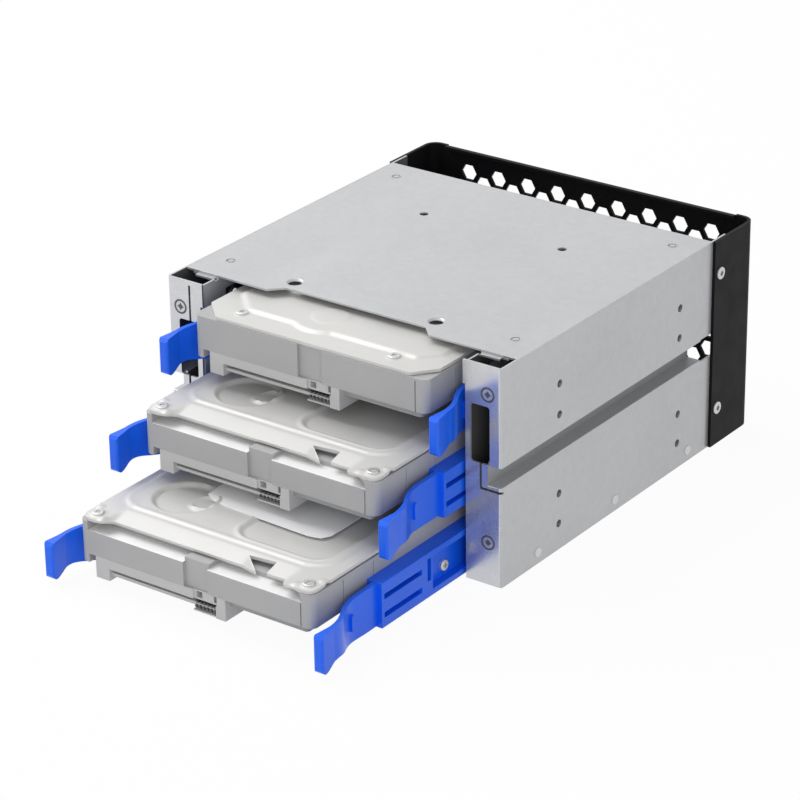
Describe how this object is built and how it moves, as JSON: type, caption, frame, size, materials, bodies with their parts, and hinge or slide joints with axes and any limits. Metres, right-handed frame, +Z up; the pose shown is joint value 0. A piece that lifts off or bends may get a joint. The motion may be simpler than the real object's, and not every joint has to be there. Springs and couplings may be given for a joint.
{
  "type": "hard drive cage",
  "caption": "Sheet metal cage that carries drives on blue plastic rails in stacked bays, with a perforated bezel and squeeze handles on each rail.",
  "frame": {"origin": "centre of the cage's underside, on the bottom panel", "axes": "+X across the cage to the right seen from the open cable end, +Y into the cage towards the bezel, +Z up"},
  "size_m": [0.1494, 0.2524, 0.0834],
  "materials": {
    "zinc_sheet": "zinc plated sheet steel, satin, with faint spangle and scuffs",
    "black_paint": "black fine-texture paint on folded steel, low sheen",
    "rivet_steel": "plain steel rivets, slightly dull",
    "screw_steel": "bright nickel plated screws",
    "blue_plastic": "saturated blue moulded plastic, semi-gloss",
    "cast_alloy": "die cast aluminium, fine matt grain",
    "lid_steel": "pressed lid, smooth satin",
    "board": "pale grey circuit board",
    "connector_plastic": "moulded grey plug body"
  },
  "bodies": {
    "cage": {"top_cover": "zinc_sheet", "bottom_panel": "zinc_sheet", "right_side_panel": "zinc_sheet", "left_side_panel": "zinc_sheet", "right_guide_bracket": "zinc_sheet", "left_guide_bracket": "zinc_sheet", "post_screws": "screw_steel", "top_clinch_studs": "zinc_sheet", "bottom_clinch_studs": "zinc_sheet", "side_rivets": "rivet_steel", "bezel": "black_paint", "bezel_rivets": "rivet_steel"},
    "bottom_sled": {"bottom_drive_base": "cast_alloy", "bottom_drive_lid": "lid_steel", "bottom_lid_screws": "screw_steel", "bottom_drive_board": "board", "bottom_drive_connector": "connector_plastic", "bottom_right_rail": "blue_plastic", "bottom_left_rail": "blue_plastic", "bottom_rail_screws": "screw_steel"},
    "bottom_right_handle": {"bottom_right_handle": "blue_plastic"},
    "bottom_left_handle": {"bottom_left_handle": "blue_plastic"},
    "middle_sled": {"middle_drive_base": "cast_alloy", "middle_drive_lid": "lid_steel", "middle_lid_screws": "screw_steel", "middle_drive_board": "board", "middle_drive_connector": "connector_plastic", "middle_right_rail": "blue_plastic", "middle_left_rail": "blue_plastic", "middle_rail_screws": "screw_steel"},
    "middle_right_handle": {"middle_right_handle": "blue_plastic"},
    "middle_left_handle": {"middle_left_handle": "blue_plastic"},
    "top_sled": {"top_drive_base": "cast_alloy", "top_drive_lid": "lid_steel", "top_lid_screws": "screw_steel", "top_drive_board": "board", "top_drive_connector": "connector_plastic", "top_right_rail": "blue_plastic", "top_left_rail": "blue_plastic", "top_rail_screws": "screw_steel"},
    "top_right_handle": {"top_right_handle": "blue_plastic"},
    "top_left_handle": {"top_left_handle": "blue_plastic"}
  },
  "joints": [
    {"name": "bottom_sled_slide", "type": "slide", "parent": "cage", "child": "bottom_sled", "axis": [0, -1, 0], "range_m": [-0.066, 0.044]},
    {"name": "bottom_right_handle_flex", "type": "hinge", "parent": "bottom_sled", "child": "bottom_right_handle", "pos_m": [0.0543, -0.11695, 0.0097], "axis": [0, 0, -1], "range_deg": [0, 6], "stiffness_Nm_per_rad": 0.6},
    {"name": "bottom_left_handle_flex", "type": "hinge", "parent": "bottom_sled", "child": "bottom_left_handle", "pos_m": [-0.0543, -0.11695, 0.0097], "axis": [0, 0, 1], "range_deg": [0, 6], "stiffness_Nm_per_rad": 0.6},
    {"name": "middle_sled_slide", "type": "slide", "parent": "cage", "child": "middle_sled", "axis": [0, -1, 0], "range_m": [-0.0295, 0.0805]},
    {"name": "middle_right_handle_flex", "type": "hinge", "parent": "middle_sled", "child": "middle_right_handle", "pos_m": [0.0543, -0.08045, 0.0364], "axis": [0, 0, -1], "range_deg": [0, 6], "stiffness_Nm_per_rad": 0.6},
    {"name": "middle_left_handle_flex", "type": "hinge", "parent": "middle_sled", "child": "middle_left_handle", "pos_m": [-0.0543, -0.08045, 0.0364], "axis": [0, 0, 1], "range_deg": [0, 6], "stiffness_Nm_per_rad": 0.6},
    {"name": "top_sled_slide", "type": "slide", "parent": "cage", "child": "top_sled", "axis": [0, -1, 0], "range_m": [0, 0.11]},
    {"name": "top_right_handle_flex", "type": "hinge", "parent": "top_sled", "child": "top_right_handle", "pos_m": [0.0543, -0.05095, 0.0631], "axis": [0, 0, -1], "range_deg": [0, 6], "stiffness_Nm_per_rad": 0.6},
    {"name": "top_left_handle_flex", "type": "hinge", "parent": "top_sled", "child": "top_left_handle", "pos_m": [-0.0543, -0.05095, 0.0631], "axis": [0, 0, 1], "range_deg": [0, 6], "stiffness_Nm_per_rad": 0.6}
  ]
}
